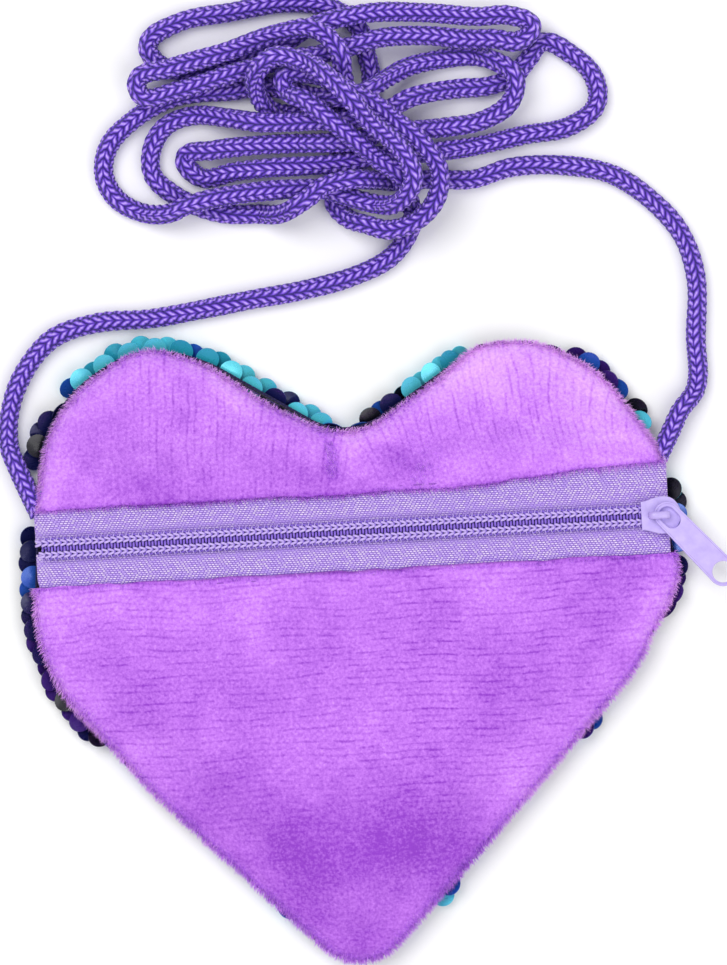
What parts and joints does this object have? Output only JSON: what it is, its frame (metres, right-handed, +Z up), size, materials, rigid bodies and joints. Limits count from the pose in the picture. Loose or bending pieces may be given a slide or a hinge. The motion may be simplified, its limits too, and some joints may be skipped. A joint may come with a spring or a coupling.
{
  "type": "heart shaped purse",
  "caption": "Heart shaped zip purse with a plush back, a front of sequins, and a long cord wound and knotted in a hank above it.",
  "frame": {"origin": "on the surface that the purse lies on, under the middle of the purse with its pull tab and without its cord", "axes": "+X along the zip towards the slider's closed end, +Y towards the lobes, +Z up from the sequins to the plush"},
  "size_m": [0.1569, 0.2092, 0.0248],
  "materials": {
    "backing_cloth": "matt woven cloth",
    "lining": "matt woven cloth",
    "sequins": "glossy coloured film",
    "thread": "matt thread",
    "plush": "short soft pile",
    "zip_tape": "fine twill",
    "zip_coil": "satin filament",
    "zip_stitching": "matt thread",
    "zip_metal": "satin paint",
    "cord": "braided satin filament"
  },
  "bodies": {
    "purse": {"backing_cloth": "backing_cloth", "front_lining": "lining", "field_sequins": "sequins", "left_lobe_sequins": "sequins", "right_lobe_sequins": "sequins", "tip_sequins": "sequins", "rim_sequins": "sequins", "sequin_stitches": "thread", "upper_plush_panel": "plush", "lower_plush_panel": "plush", "upper_lining": "lining", "lower_lining": "lining", "rim_seam_stitches": "thread", "upper_zip_tape": "zip_tape", "lower_zip_tape": "zip_tape", "upper_coil": "zip_coil", "lower_coil": "zip_coil", "upper_coil_cord": "thread", "lower_coil_cord": "thread", "upper_coil_stitching": "zip_stitching", "lower_coil_stitching": "zip_stitching", "upper_tape_seam": "thread", "lower_tape_seam": "thread", "left_zip_tacks": "thread", "right_zip_tacks": "thread", "left_cord_tail": "cord", "right_cord_tail": "cord", "left_cord_run": "cord", "cord_hank": "cord", "right_cord_run": "cord"},
    "zip_slider": {"slider_body": "zip_metal"},
    "zip_pull": {"pull_tab": "zip_metal"}
  },
  "joints": [
    {"name": "slider_slide", "type": "slide", "parent": "purse", "child": "zip_slider", "axis": [-1, 0, 0], "range_m": [0, 0.122], "deforming": ["upper_coil", "lower_coil", "upper_coil_cord", "lower_coil_cord"]},
    {"name": "pull_tab_flip", "type": "hinge", "parent": "zip_slider", "child": "zip_pull", "pos_m": [0.05954, 0.02541, 0.00965], "axis": [0, -1, 0], "range_deg": [0, 170]}
  ]
}
